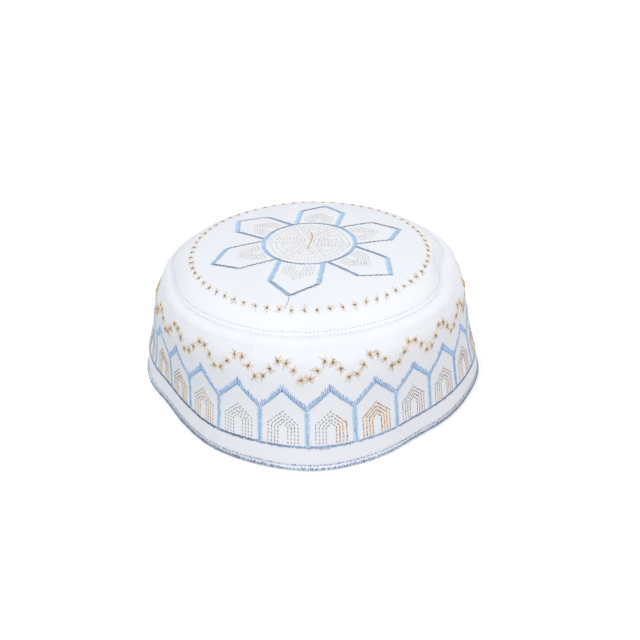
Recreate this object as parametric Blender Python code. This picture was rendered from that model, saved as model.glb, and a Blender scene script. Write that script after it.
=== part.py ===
"""Round embroidered skullcap: a domed crown panel sewn over a gathered side band with a thread-wound rim.

Metres, +Z up. The cap stands on its rim at z = 0. Angles run round the cap's own axis from the front
(-Y) towards +X. The crown is round up to its worn seam, and the band's outline eases from the seam
into the slightly uneven outline of the rim.
"""
from collections import namedtuple

import bmesh
import bpy
import numpy as np

MM = 0.001

# Driving sizes of the whole cap
CAP_HEIGHT = 78.2 * MM         # foot of the edging to the highest point of the crown
CLOTH = 1.5 * MM               # stiffened cloth of the crown and of the band
SEWN_GAP = 0.3 * MM            # clearance between pieces that are sewn to each other

# Crown panel
SEAM_RADIUS = 74.7 * MM        # stitched line that joins the crown to the band
CROWN_RISE = 11.1 * MM         # stitched line up to the highest point of the crown
SEAM_ALLOWANCE = 1.2 * MM      # crown cloth beyond the stitched line
CROWN_EDGE = 1.0 * MM          # crown cloth where it is pressed thin at its edge
LAP = 6.0 * MM                 # band cloth that lies under the edge of the crown
SEAM_PULL = 2.0 * MM           # inward pull of the worn seam
PULL_REACH = 10.0 * MM         # how far from the seam its pull is felt, above and below

# Side band
BASE_RADIUS = 90.2 * MM        # mean radius of the band at the top of its plain hem strip
HEM_STRIP = 12.8 * MM          # height of the plain strip above the foot of the cap
OUTLINE_SWELL = 3.1 * MM       # swelling of the outline at the front of the base line
HEM_FLARE = 2.0 * MM           # mean flare of the hem strip from its top to the foot
SWELL_ONSET = 1.4              # power by which the uneven outline grows down the band
GATHERS = 36                   # folds where the band is gathered into the seam
GATHER_DEPTH = 0.4 * MM        # depth of a fold at the seam
GATHER_LENGTH = 18.0 * MM      # drop below the seam over which the gathers fade
SHOULDER_PUFF = 1.5 * MM       # extra fullness of the band's shoulder where the cap is worn

# Hem edging, a thread-wound channel over the foot of the band
EDGING_HEIGHT = 2.6 * MM
EDGING_THREAD = 0.8 * MM       # thickness of the winding
EDGING_BEVEL = 0.5 * MM        # rounded outer foot of the winding
HEM_PINCH = 1.0 * MM           # band cloth inside the winding
PINCH_RUN = 1.6 * MM           # height over which the band thickens above the winding

COLUMNS = 4 * GATHERS          # mesh columns round the band and the edging
CROWN_COLUMNS = 2 * GATHERS
ONE_TURN = 360.0               # degrees in one turn of the outline table
SHARP_ANGLE = 40.0             # degrees between faces past which an edge is shaded sharp

# The crown from its middle to the seam, as shares of SEAM_RADIUS and CROWN_RISE
CrownRow = namedtuple("CrownRow", "radius_share fall_share")
CROWN_ROWS = [
    CrownRow(0.000, 0.000),
    CrownRow(0.170, 0.012),
    CrownRow(0.335, 0.045),
    CrownRow(0.600, 0.140),
    CrownRow(0.730, 0.245),
    CrownRow(0.866, 0.400),
    CrownRow(0.905, 0.480),
    CrownRow(0.940, 0.620),
    CrownRow(0.970, 0.785),
    CrownRow(1.000, 1.000),
]
CROWN_LINING_ROWS = [1, 2, 3, 5, 7, 9]       # rows of the table that the crown's inner face uses

# The band from the edge of the crown to its base line: shares of the fall, of the widening and of the puff
BandRow = namedtuple("BandRow", "fall_share widening_share puff_share")
BAND_ROWS = [
    BandRow(0.006, 0.170, 0.5),
    BandRow(0.037, 0.320, 1.0),
    BandRow(0.098, 0.455, 0.9),
    BandRow(0.182, 0.610, 0.3),
    BandRow(0.290, 0.700, -0.5),
    BandRow(0.475, 0.775, -0.5),
    BandRow(0.745, 0.855, -0.2),
    BandRow(1.000, 1.000, 0.0),
]
BAND_LINING_ROWS = [1, 2, 3, 5, 7]           # rows of the table that the band's inner face uses

# The worn outline, in degrees from the front, as shares of OUTLINE_SWELL, HEM_FLARE, SEAM_PULL
# and SHOULDER_PUFF
OutlineRow = namedtuple("OutlineRow", "angle swell_share flare_share pull_share puff_share")
OUTLINE_ROWS = [
    OutlineRow(-180, 0.00, 1.00, -0.3, 0.3),
    OutlineRow(-145, 0.15, 1.00, -0.6, 0.2),
    OutlineRow(-115, 0.90, 0.85, -0.9, -0.5),
    OutlineRow(-95, 2.35, 0.90, -1.1, -0.8),
    OutlineRow(-80, 0.80, 1.70, 0.1, 0.3),
    OutlineRow(-65, -0.90, 1.40, -0.3, 0.0),
    OutlineRow(-50, -0.82, 1.50, -0.4, 0.0),
    OutlineRow(-35, 0.12, 1.30, -0.3, 0.0),
    OutlineRow(-20, 0.40, 1.55, -0.1, 0.0),
    OutlineRow(0, 1.00, 1.60, 0.2, 0.0),
    OutlineRow(20, 0.28, 1.30, 0.2, 0.0),
    OutlineRow(35, -0.50, 1.00, 0.0, 0.0),
    OutlineRow(50, -0.10, 1.35, -0.3, 0.3),
    OutlineRow(65, 0.62, 1.20, 0.4, 0.8),
    OutlineRow(80, 1.40, 1.35, 1.8, 0.9),
    OutlineRow(95, 1.10, 1.40, -0.2, 0.7),
    OutlineRow(115, 0.25, 1.05, -1.1, 0.6),
    OutlineRow(150, 0.00, 1.00, -0.6, 0.5),
]


def column(rows, name):
    """One named column of a table, as an array."""
    return np.array([getattr(row, name) for row in rows], float)


def smooth_curve(at, knots, values):
    """Cubic spans through the knots, each with the slope that its two neighbours give it."""
    slopes = np.gradient(values, knots)
    low = np.clip(np.searchsorted(knots, at) - 1, 0, len(knots) - 2)
    span = knots[low + 1] - knots[low]
    t = (at - knots[low]) / span
    rest = 1 - t
    from_low = values[low] * (1 + 2 * t) * rest ** 2 + slopes[low] * span * t * rest ** 2
    from_high = values[low + 1] * (1 + 2 * rest) * t ** 2 - slopes[low + 1] * span * rest * t ** 2
    return from_low + from_high


def outline(angle, name):
    """A column of the outline table at any angle, in radians, joined up all the way round."""
    knots = column(OUTLINE_ROWS, "angle")
    values = column(OUTLINE_ROWS, name)
    turns = np.concatenate([knots - ONE_TURN, knots, knots + ONE_TURN])
    return smooth_curve(np.degrees(angle), turns, np.tile(values, 3))


def crown_fall(radius):
    """Fall of the crown's outer face below its highest point; it runs on straight past the seam."""
    shares = column(CROWN_ROWS, "radius_share")
    falls = column(CROWN_ROWS, "fall_share")
    seam_slope = np.gradient(falls, shares)[-1] * CROWN_RISE / SEAM_RADIUS
    inside = np.minimum(radius, SEAM_RADIUS)
    return smooth_curve(inside / SEAM_RADIUS, shares, falls) * CROWN_RISE + (radius - inside) * seam_slope


def near_seam(distance):
    """How much of the seam's pull is felt at a distance from it: all at the seam, none past PULL_REACH."""
    part = np.clip(1 - distance / PULL_REACH, 0, 1)
    return part * part * (3 - 2 * part)


def seam_shift(angle):
    """Outward shift of the worn seam."""
    return -SEAM_PULL * outline(angle, "pull_share")


def crown_point(radius, depth):
    """Radius and height of a point at a depth under the crown's outer face, square to it."""
    step = CLOTH / 2
    slope = (crown_fall(radius + step) - crown_fall(np.abs(radius - step))) / (2 * step)
    length = np.hypot(slope, 1)
    return radius - depth * slope / length, CAP_HEIGHT - crown_fall(radius) - depth / length


def crown_cloth(radius):
    """Thickness of the crown's cloth, pressed thin towards its edge."""
    edge = SEAM_RADIUS + SEAM_ALLOWANCE
    return np.interp(radius, [edge - LAP, edge], [CLOTH, CROWN_EDGE])


def circle_points(radius, height, angle):
    """Points round the axis; radius and height may vary with the angle."""
    radius = np.broadcast_to(radius, angle.shape)
    height = np.broadcast_to(height, angle.shape)
    return np.stack([radius * np.sin(angle), -radius * np.cos(angle), height], axis=-1)


def crown_circle(radius, depth, angle):
    """Ring at a depth under the crown's outer face, following the worn seam where it is near."""
    out, height = crown_point(radius, depth)
    return circle_points(out + seam_shift(angle) * near_seam(SEAM_RADIUS - radius), height, angle)


def crown_rings():
    """Rings of the crown panel from its outer middle over the edge to its inner middle."""
    angle = np.linspace(0, 2 * np.pi, CROWN_COLUMNS, endpoint=False)
    edge = SEAM_RADIUS + SEAM_ALLOWANCE
    shares = column(CROWN_ROWS, "radius_share")
    outer = np.append(shares[1:] * SEAM_RADIUS, edge)
    inner = np.append(shares[CROWN_LINING_ROWS] * SEAM_RADIUS, edge)[::-1]
    rings = [crown_circle(radius, 0.0, angle) for radius in outer]
    rings += [crown_circle(radius, crown_cloth(radius), angle) for radius in inner]
    return rings


def gather_groove(angle, fall):
    """Inward groove of the gathers, deepest at the seam and faded at GATHER_LENGTH below it."""
    fade = np.clip(1 - fall / GATHER_LENGTH, 0, 1) ** 2
    return GATHER_DEPTH * fade * (1 - np.cos(GATHERS * angle)) / 2


def wall_radius(angle, row, start, fall):
    """Radius of the band's outer face at one row of its table."""
    mean = start + row.widening_share * (BASE_RADIUS - start)
    swell = OUTLINE_SWELL * outline(angle, "swell_share") * row.fall_share ** SWELL_ONSET
    puff = SHOULDER_PUFF * outline(angle, "puff_share") * row.puff_share
    return mean + swell + puff + seam_shift(angle) * near_seam(fall) - gather_groove(angle, fall)


def hem_radius(angle, height):
    """Radius of the hem strip's outer face at a height between its top and the foot."""
    top = BASE_RADIUS + OUTLINE_SWELL * outline(angle, "swell_share")
    return top + HEM_FLARE * outline(angle, "flare_share") * (HEM_STRIP - height) / HEM_STRIP


def hem_middle(angle, height):
    """Radius of the middle of the hem's cloth, which the edging is centred on."""
    return hem_radius(angle, height) - CLOTH / 2


def wall_lean():
    """Lean of the band's mean profile at each row of its table, as a unit normal (out, up)."""
    edge = SEAM_RADIUS + SEAM_ALLOWANCE
    start, top = crown_point(edge, CROWN_EDGE + SEWN_GAP)
    radius = start + column(BAND_ROWS, "widening_share") * (BASE_RADIUS - start)
    height = top - column(BAND_ROWS, "fall_share") * (top - HEM_STRIP)
    down = -np.gradient(np.append(top, height))[1:]
    out = np.gradient(np.append(start, radius))[1:]
    length = np.hypot(down, out)
    return down / length, out / length


def band_rings():
    """Closed section of the band, from its tucked-in top edge down the outside and up the inside."""
    angle = np.linspace(0, 2 * np.pi, COLUMNS, endpoint=False)
    edge = SEAM_RADIUS + SEAM_ALLOWANCE
    tucked = [edge - LAP, edge]
    outer = []
    inner = []
    for radius in tucked:
        under = crown_cloth(radius) + SEWN_GAP
        outer.append(crown_circle(radius, under, angle))
        inner.append(crown_circle(radius, under + CLOTH, angle))
    start, top = crown_point(edge, CROWN_EDGE + SEWN_GAP)
    normal_out, normal_up = wall_lean()
    for index, row in enumerate(BAND_ROWS):
        fall = row.fall_share * (top - HEM_STRIP)
        radius = wall_radius(angle, row, start, fall)
        outer.append(circle_points(radius, top - fall, angle))
        if index in BAND_LINING_ROWS:
            inside = radius - CLOTH * normal_out[index]
            inner.append(circle_points(inside, top - fall - CLOTH * normal_up[index], angle))
    foot = EDGING_THREAD + SEWN_GAP
    for height, cloth in ((EDGING_HEIGHT + PINCH_RUN, CLOTH), (EDGING_HEIGHT, HEM_PINCH), (foot, HEM_PINCH)):
        middle = hem_middle(angle, height)
        outer.append(circle_points(middle + cloth / 2, height, angle))
        if height != EDGING_HEIGHT:
            inner.append(circle_points(middle - cloth / 2, height, angle))
    return outer + inner[::-1]


def edging_rings():
    """Closed channel section of the edging, from its outer foot round to its inner foot."""
    angle = np.linspace(0, 2 * np.pi, COLUMNS, endpoint=False)
    slot = HEM_PINCH / 2 + SEWN_GAP
    face = slot + EDGING_THREAD
    section = [
        (face - EDGING_BEVEL, 0.0),
        (face, EDGING_BEVEL),
        (face, EDGING_HEIGHT),
        (slot, EDGING_HEIGHT),
        (slot, EDGING_THREAD),
        (-slot, EDGING_THREAD),
        (-slot, EDGING_HEIGHT),
        (-face, EDGING_HEIGHT),
        (-face, 0.0),
    ]
    return [circle_points(hem_middle(angle, height) + side, height, angle) for side, height in section]


def rim_centre():
    """Middle of the box round the edging, seen from above."""
    points = np.concatenate(edging_rings())[:, :2]
    return (points.min(axis=0) + points.max(axis=0)) / 2


def ring_faces(ring_count, columns, closed):
    """Quads between neighbouring rings, and between the last and the first if the section closes."""
    low = np.arange(ring_count if closed else ring_count - 1)[:, None] * columns
    here = np.arange(columns)[None, :]
    after = (here + 1) % columns
    high = (low + columns) % (ring_count * columns)
    return np.stack([low + here, high + here, high + after, low + after], axis=-1).reshape(-1, 4)


def new_piece(name, rings, material, axis, poles=()):
    """A closed body from rings of points; poles close the first and the last ring, if they are given."""
    columns = len(rings[0])
    points = np.concatenate(rings + [np.array([pole]) for pole in poles])
    faces = ring_faces(len(rings), columns, closed=not poles).tolist()
    for pole, ring in zip(range(len(rings) * columns, len(points)), (0, len(rings) - 1)):
        first = ring * columns
        faces += [(pole, first + i, first + (i + 1) % columns) for i in range(columns)]
    mesh = bpy.data.meshes.new(name)
    mesh.from_pydata(points.tolist(), [], faces)
    body = bmesh.new()
    body.from_mesh(mesh)
    bmesh.ops.recalc_face_normals(body, faces=body.faces)
    body.to_mesh(mesh)
    body.free()
    mesh.shade_smooth()
    mesh.set_sharp_from_angle(angle=np.radians(SHARP_ANGLE))
    mesh.materials.append(material)
    piece = bpy.data.objects.new(name, mesh)
    piece.parent = axis
    bpy.context.scene.collection.objects.link(piece)
    return piece


def new_material(name, colour, roughness):
    """A plain cloth or thread colour."""
    material = bpy.data.materials.new(name)
    material.use_nodes = True
    shader = material.node_tree.nodes["Principled BSDF"]
    shader.inputs["Base Color"].default_value = (*colour, 1.0)
    shader.inputs["Roughness"].default_value = roughness
    shader.inputs["Metallic"].default_value = 0.0
    return material


def new_axis():
    """Empty on the cap's own axis, placed so that the middle of the rim's box is at the origin."""
    axis = bpy.data.objects.new("cap_axis", None)
    across, along = rim_centre()
    axis.location = (-across, -along, 0.0)
    bpy.context.scene.collection.objects.link(axis)
    return axis


def build_cap():
    """The three pieces of the cap."""
    for old in list(bpy.data.objects):
        bpy.data.objects.remove(old, do_unlink=True)
    crown_cotton = new_material("crown_cotton", (0.86, 0.87, 0.90), 0.80)
    band_cotton = new_material("band_cotton", (0.84, 0.85, 0.89), 0.80)
    blue_thread = new_material("blue_thread", (0.22, 0.42, 0.72), 0.45)
    axis = new_axis()
    middle = [(0.0, 0.0, CAP_HEIGHT), (0.0, 0.0, CAP_HEIGHT - CLOTH)]
    new_piece("crown_panel", crown_rings(), crown_cotton, axis, middle)
    new_piece("side_band", band_rings(), band_cotton, axis)
    new_piece("hem_edging", edging_rings(), blue_thread, axis)
    bpy.context.view_layer.update()


build_cap()
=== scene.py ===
from math import tau

import bpy
import numpy as np
from mathutils import Matrix


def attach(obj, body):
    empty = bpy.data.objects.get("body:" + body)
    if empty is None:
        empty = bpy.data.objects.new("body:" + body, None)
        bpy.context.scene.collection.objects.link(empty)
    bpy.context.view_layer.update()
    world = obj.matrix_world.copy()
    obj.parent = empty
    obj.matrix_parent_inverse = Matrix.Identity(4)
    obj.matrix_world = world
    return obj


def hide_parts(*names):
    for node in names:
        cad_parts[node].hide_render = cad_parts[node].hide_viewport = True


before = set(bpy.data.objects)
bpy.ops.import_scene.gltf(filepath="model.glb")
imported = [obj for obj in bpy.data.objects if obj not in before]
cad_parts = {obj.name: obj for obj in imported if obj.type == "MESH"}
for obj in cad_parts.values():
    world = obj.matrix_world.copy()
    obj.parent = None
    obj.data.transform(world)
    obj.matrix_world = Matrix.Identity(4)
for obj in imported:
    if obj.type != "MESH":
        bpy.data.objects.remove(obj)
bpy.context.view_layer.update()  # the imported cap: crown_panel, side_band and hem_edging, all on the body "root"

mm = 0.001
dice = np.random.default_rng(24)

# The cap's own measures, the same as in the CAD source
cap = {
    "height": 78.2 * mm,  # foot of the edging to the top of the crown
    "cloth": 1.5 * mm,  # stiffened cloth
    "gap": 0.05 * mm,  # between pieces that are sewn to each other
    "seamRadius": 74.7 * mm,
    "crownRise": 11.1 * mm,
    "crownEdge": 75.9 * mm,  # where the crown's cloth ends, past the seam
    "sewnEdge": 0.2 * mm,  # crown cloth at that edge, pressed down by the seam's stitches
    "lap": 6.0 * mm,  # band cloth under the crown
    "seamPull": 2.0 * mm,
    "pullReach": 10.0 * mm,
    "baseRadius": 90.2 * mm,  # band at the top of its plain hem strip
    "hemStrip": 12.8 * mm,
    "swell": 3.1 * mm,
    "flare": 2.0 * mm,
    "swellOnset": 1.4,
    "gathers": 36,
    "gatherDepth": 0.4 * mm,
    "gatherLength": 18.0 * mm,
    "puff": 1.5 * mm,  # fullness of the shoulder
    "hemPinch": 1.0 * mm,  # cloth inside the edging
    "pinchTop": 4.2 * mm,  # height above which the cloth is whole
    "pinchFade": 1.6 * mm,
    "axis": (1.03473 * mm, 2.12656 * mm),  # the cap's axis, seen from above
}
baseRadius, hemStrip, crownEdge = cap["baseRadius"], cap["hemStrip"], cap["crownEdge"]
# crown from the middle to the seam: share of the seam's radius, share of the rise
crownRows = np.array([
    (0, 0), (0.17, 0.012), (0.335, 0.045), (0.6, 0.14), (0.73, 0.245),
    (0.866, 0.4), (0.905, 0.48), (0.94, 0.62), (0.97, 0.785), (1, 1)])
# band from the crown's edge to the base line: shares of the fall, of the widening and of the puff
bandRows = np.array([
    (0, 0, 0), (0.006, 0.17, 0.5), (0.037, 0.32, 1), (0.098, 0.455, 0.9), (0.182, 0.61, 0.3),
    (0.29, 0.7, -0.5), (0.475, 0.775, -0.5), (0.745, 0.855, -0.2), (1, 1, 0)])
# the worn outline: degrees from the front, and shares of the four values that are named after the table
outlineRows = np.array([
    (-180, 0.00, 1.00, -0.3, 0.3), (-145, 0.15, 1.00, -0.6, 0.2), (-115, 0.90, 0.85, -0.9, -0.5),
    (-95, 2.35, 0.90, -1.1, -0.8), (-80, 0.80, 1.70, 0.1, 0.3), (-65, -0.90, 1.40, -0.3, 0.0),
    (-50, -0.82, 1.50, -0.4, 0.0), (-35, 0.12, 1.30, -0.3, 0.0), (-20, 0.40, 1.55, -0.1, 0.0),
    (0, 1.00, 1.60, 0.2, 0.0), (20, 0.28, 1.30, 0.2, 0.0), (35, -0.50, 1.00, 0.0, 0.0),
    (50, -0.10, 1.35, -0.3, 0.3), (65, 0.62, 1.20, 0.4, 0.8), (80, 1.40, 1.35, 1.8, 0.9),
    (95, 1.10, 1.40, -0.2, 0.7), (115, 0.25, 1.05, -1.1, 0.6), (150, 0.00, 1.00, -0.6, 0.5)], float)
outlineColumns = ("degrees", "swell", "flare", "seamPull", "puff")

view = {
    "aim": (*cap["axis"], 79.1 * mm),
    "distance": 414.3 * mm,
    "elevation": np.radians(25.91),
    "focal": 754.7,  # pixels
    "frame": 640,  # pixels
    "middle": (311.81, 240.01),  # pixel that looks at the aim
    "roll": np.radians(-1.87),
}


def newObject(name, data):
    made = bpy.data.objects.new(name, data)
    bpy.context.scene.collection.objects.link(made)
    return made


def turned(first, second, angle):
    # two axes turned towards each other: first cos + second sin, second cos - first sin
    return first * np.cos(angle) + second * np.sin(angle), second * np.cos(angle) - first * np.sin(angle)


def makeCamera():
    # looks down on the aim from its distance, then pans, tips and rolls to the photo's frame
    half = view["frame"] / 2
    lean = view["elevation"]
    right, ahead, up = np.array([
        (1, 0, 0), (0, np.cos(lean), -np.sin(lean)), (0, np.sin(lean), np.cos(lean))])
    place = np.array(view["aim"]) - view["distance"] * ahead
    right, ahead = turned(right, ahead, np.arctan2(view["middle"][0] - half, view["focal"]))
    up, ahead = turned(up, ahead, np.arctan2(half - view["middle"][1], view["focal"]))
    right, up = turned(right, up, view["roll"])
    lens = bpy.data.cameras.new("camera")
    lens.lens = view["focal"] / view["frame"] * lens.sensor_width
    lens.clip_start = 0.01
    camera = newObject("camera", lens)
    camera.matrix_world = Matrix(np.vstack([
        np.column_stack([right, up, -ahead, place]), [0, 0, 0, 1]]).tolist())
    bpy.context.scene.camera = camera


makeCamera()
print("camera made")


class Wire:
    # wraps a shader socket, so that sums on it add Math nodes
    def __init__(self, finish, socket):
        self.finish, self.socket = finish, socket

    def math(self, operation, *others):
        return self.finish.node("ShaderNodeMath", {"operation": operation}, dict(enumerate((self, *others))))

    def __add__(self, other):
        return self.math("ADD", other)

    def __mul__(self, other):
        return self.math("MULTIPLY", other)

    def __rsub__(self, other):
        return self * -1 + other

    __radd__ = __add__
    __rmul__ = __mul__


class Finish:
    # one material; node() makes any node, its settings first and then the values or links of its sockets
    def __init__(self, name):
        self.material = bpy.data.materials.new(name)
        self.material.use_nodes = True
        self.tree = self.material.node_tree
        self.tree.nodes.clear()

    def node(self, kind, settings=None, sockets=None, out=0):
        made = self.tree.nodes.new(kind)
        for key, value in (settings or {}).items():
            setattr(made, key, value)
        for key, value in (sockets or {}).items():
            if isinstance(value, Wire):
                self.tree.links.new(value.socket, made.inputs[key])
            else:
                made.inputs[key].default_value = value
        return Wire(self, made.outputs[out])

    def blend(self, factor, low, high):
        # a colour between two colours
        low, high = (colour if isinstance(colour, Wire) else (*colour, 1) for colour in (low, high))
        return self.node("ShaderNodeMix", {"data_type": "RGBA"}, {0: factor, 6: low, 7: high}, out=2)

    def noise(self, place, scale, detail):
        return self.node("ShaderNodeTexNoise", {}, {"Vector": place, "Scale": scale, "Detail": detail})

    def part(self, vector, axis):
        return self.node("ShaderNodeSeparateXYZ", {}, {"Vector": vector}, out=axis)

    def ramp(self, value, low, high):
        # 0 below low, 1 above high, smooth between
        return self.node("ShaderNodeMapRange", {"interpolation_type": "SMOOTHSTEP"},
                         {"Value": value, "From Min": low, "From Max": high})

    def attribute(self, name):
        return self.node("ShaderNodeAttribute", {"attribute_name": name}, out=2)

    def finished(self, sockets, bumpHeight=None, bumpDepth=0.0):
        if bumpHeight is not None:
            sockets["Normal"] = self.node("ShaderNodeBump", {}, {"Height": bumpHeight, "Distance": bumpDepth})
        shader = self.node("ShaderNodeBsdfPrincipled", {}, sockets)
        output = self.tree.nodes.new("ShaderNodeOutputMaterial")
        self.tree.links.new(shader.socket, output.inputs["Surface"])
        return self.material


cottonLook = {
    "colour": (0.788, 0.800, 0.826),
    "shade": (0.735, 0.755, 0.800),  # bluer patches
    "patches": (22.0, 3.0),  # scale and detail of their noise
    "patchEdge": (0.42, 0.72),  # noise where a patch begins and where it is whole
    "hem": (0.765, 0.775, 0.805),  # greyer strip below the base line
    "hemFade": 1.0 * mm,
    "weave": 0.45 * mm,  # from one yarn to the next
    "weaveDepth": 0.05 * mm,
    # colour of the painted shade in the weave
    "weaveShade": (0.55, 0.60, 0.72),
    "fuzz": (900.0, 2.0),
}


def whiteCotton(name, hemTop):
    # plain weave from two crossed sine waves of the flat cloth's own map, with soft bluish and greyish patches
    # and painted shade in the weave
    cloth = Finish(name)
    flat = cloth.node("ShaderNodeUVMap", {"uv_map": "flat"})
    warp, weft = ((cloth.part(flat, axis) * (tau / cottonLook["weave"])).math("SINE") for axis in (0, 1))
    place = cloth.node("ShaderNodeTexCoord", {}, out=3)
    patches = cloth.ramp(cloth.noise(place, *cottonLook["patches"]), *cottonLook["patchEdge"])
    colour = cloth.blend(patches * 0.5, cottonLook["colour"], cottonLook["shade"])
    if hemTop:
        hem = 1 - cloth.ramp(cloth.part(place, 2), hemTop - cottonLook["hemFade"], hemTop)
        colour = cloth.blend(hem * 0.8, colour, cottonLook["hem"])
    yarn = warp * weft * 0.5 + 0.5
    fuzz = cloth.noise(place, *cottonLook["fuzz"])
    # painted shade in the weave's pattern, with a random fuzz
    colour = cloth.blend(yarn * 0.05 + fuzz * 0.05, colour, cottonLook["weaveShade"])
    return cloth.finished({"Base Color": colour, "Roughness": 0.86, "Sheen Weight": 0.25, "Sheen Roughness": 0.5,
                           "Specular IOR Level": 0.25},
                          yarn + fuzz * 0.4, cottonLook["weaveDepth"])


threadTwist = {
    "pitch": 0.55 * mm,  # from one turn of the ply to the next
    "depth": 0.03 * mm,
    # painted shade in the twist's grooves: how strongly it darkens them, and its colour
    "share": 0.18,  # how strongly its grooves darken
    "shade": 0.55,  # the grooves' colour, as a share of the thread's deep colour
}


def sewingThread(name, pale, deep, gloss, sheen, palerDyeAndShade=None, deeperDyeAndShade=None):
    # each stitch has its own tone between two colours, with painted shade in the grooves of the twist along it; where
    # the dye changes along a thread's run, and on the outline where painted shade darkens lines that run along their
    # threads, the number "dyeAndShade" goes over to two other colours
    thread = Finish(name)
    tone = thread.attribute("tone")
    twist = (thread.attribute("along") * (tau / threadTwist["pitch"])).math("SINE") * 0.5 + 0.5
    colour = thread.blend(tone, pale, deep)
    if palerDyeAndShade:
        colour = thread.blend(thread.attribute("dyeAndShade"), colour, thread.blend(tone, palerDyeAndShade, deeperDyeAndShade))
    colour = thread.blend(twist * threadTwist["share"], colour, [part * threadTwist["shade"] for part in deep])
    return thread.finished({"Base Color": colour, "Roughness": gloss, "Sheen Weight": sheen, "Sheen Roughness": 0.4,
                            "Specular IOR Level": 0.45},
                           twist, threadTwist["depth"])


crownCotton = whiteCotton("crownCotton", 0)
bandCotton = whiteCotton("bandCotton", hemStrip)
# every thread's slot, pale and deep colour, roughness and sheen, and on some a second pair, pale and deep: a second
# dye, and on outlineSilk the colours of painted shade
threadLooks = {
    "skySilk": ("blue_thread", (0.66, 0.87, 1.0), (0.15, 0.31, 0.60), 0.38, 0.2),
    # its second pair is painted shade: the dark slate of lines that run along their threads
    "outlineSilk": ("blue_thread", (0.56, 0.76, 0.93), (0.16, 0.30, 0.54), 0.42, 0.2,
                    (0.16, 0.23, 0.36), (0.05, 0.08, 0.15)),
    "fringeSilk": ("blue_thread", (0.56, 0.72, 0.95), (0.16, 0.27, 0.58), 0.5, 0.2),
    "bindingSilk": ("blue_thread", (0.78, 0.85, 0.93), (0.19, 0.205, 0.25), 0.55, 0.2),
    "slateSilk": ("blue_thread", (0.42, 0.60, 0.86), (0.06, 0.09, 0.18), 0.45, 0.15),
    "goldSilk": ("gold_thread", (0.89, 0.67, 0.38), (0.42, 0.24, 0.10), 0.40, 0.2),
    "brownSilk": ("gold_thread", (0.22, 0.12, 0.05), (0.09, 0.05, 0.02), 0.55, 0.1),
    "archCotton": ("tan_thread", (0.38, 0.31, 0.26), (0.09, 0.085, 0.10), 0.70, 0.1,
                   (0.88, 0.58, 0.27), (0.28, 0.15, 0.07)),
    "fadedCotton": ("tan_thread", (0.52, 0.48, 0.45), (0.16, 0.15, 0.17), 0.75, 0.1,
                    (0.78, 0.56, 0.36), (0.42, 0.27, 0.16)),
    # grey: on the seam, painted shade on white thread; on the loose thread, the thread's own grey
    "greyAndShadedCotton": ("white_cloth", (0.66, 0.67, 0.68), (0.36, 0.38, 0.41), 0.75, 0.1),
}
threads = {name: (sewingThread(name, *look), slot) for name, (slot, *look) in threadLooks.items()}
print("finishes made")


def smoothCurve(at, knots, values):
    # cubic spans through the knots, each with the slope that its two neighbours give it
    slopes = np.gradient(values, knots)
    low = np.clip(np.searchsorted(knots, at) - 1, 0, len(knots) - 2)
    span = knots[low + 1] - knots[low]
    t = (at - knots[low]) / span
    rest = 1 - t
    return (values[low] * (1 + 2 * t) * rest ** 2 + slopes[low] * span * t * rest ** 2
            + values[low + 1] * (1 + 2 * rest) * t ** 2 - slopes[low + 1] * span * rest * t ** 2)


def fromFront(angle):
    # degrees from the front, -180 to 180
    return (np.degrees(angle) + 180) % 360 - 180


def outlineAt(angle, name):
    # the cap's own value times its column of the outline table, joined up all the way round
    knots = np.concatenate([outlineRows[:, 0] + turn for turn in (-360, 0, 360)])
    shares = np.tile(outlineRows[:, outlineColumns.index(name)], 3)
    return cap[name] * smoothCurve(fromFront(angle), knots, shares)


def crownFall(radius):
    # the table's smooth fall out to the seam, and straight on past it
    shares, falls = crownRows.T
    inside = np.minimum(radius, cap["seamRadius"])
    seamSlope = np.gradient(falls, shares)[-1] * cap["crownRise"] / cap["seamRadius"]
    return smoothCurve(inside / cap["seamRadius"], shares, falls) * cap["crownRise"] + (radius - inside) * seamSlope


def nearSeam(distance):
    # 1 at the seam, easing to 0 at the pull's reach
    part = np.clip(1 - distance / cap["pullReach"], 0, 1)
    return part * part * (3 - 2 * part)


def hump(at, middle, width):
    # bell curve, 1 at its middle
    return np.exp(-((at - middle) / width) ** 2)


def waves(angle, counts, shifts):
    # mean of cosines with whole numbers of waves round the cap
    return sum(np.cos(count * angle + shift) for count, shift in zip(counts, shifts)) / len(counts)


def together(*columns):
    # columns of numbers, spread over each other, as the coordinates of points or the corners of faces
    return np.stack(np.broadcast_arrays(*columns), axis=-1)


def aroundAxis(radius, angle):
    # flat coordinates at an angle from the front towards the right
    return radius * np.sin(angle), -radius * np.cos(angle)


def atAngle(out, height, angle):
    # points round the cap's axis
    x, y = aroundAxis(out, angle)
    return together(cap["axis"][0] + x, cap["axis"][1] + y, height)


relief = {
    "stitchRows": (74.35 * mm, 75.6 * mm),  # the seam's two rows of stitches, from the axis
    "stitchDent": 0.2 * mm,
    "crownUneven": 0.25 * mm,
    "wallUneven": 0.35 * mm,
    "pucker": 0.22 * mm,  # fine pleats under the seam
    "puckerLength": 9.0 * mm,
    "puckers": (97, 119, 137, 151),
    # of the hem strip: degrees from the front, width in degrees, height in mm
    "creases": ((-38.0, 1.6, 0.30), (-31.5, 2.0, 0.28), (-47.0, 2.4, 0.2), (33.0, 2.5, 0.2)),
}
puckerShifts = dice.uniform(0, tau, 4)
slowShifts = dice.uniform(0, tau, 6)


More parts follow.
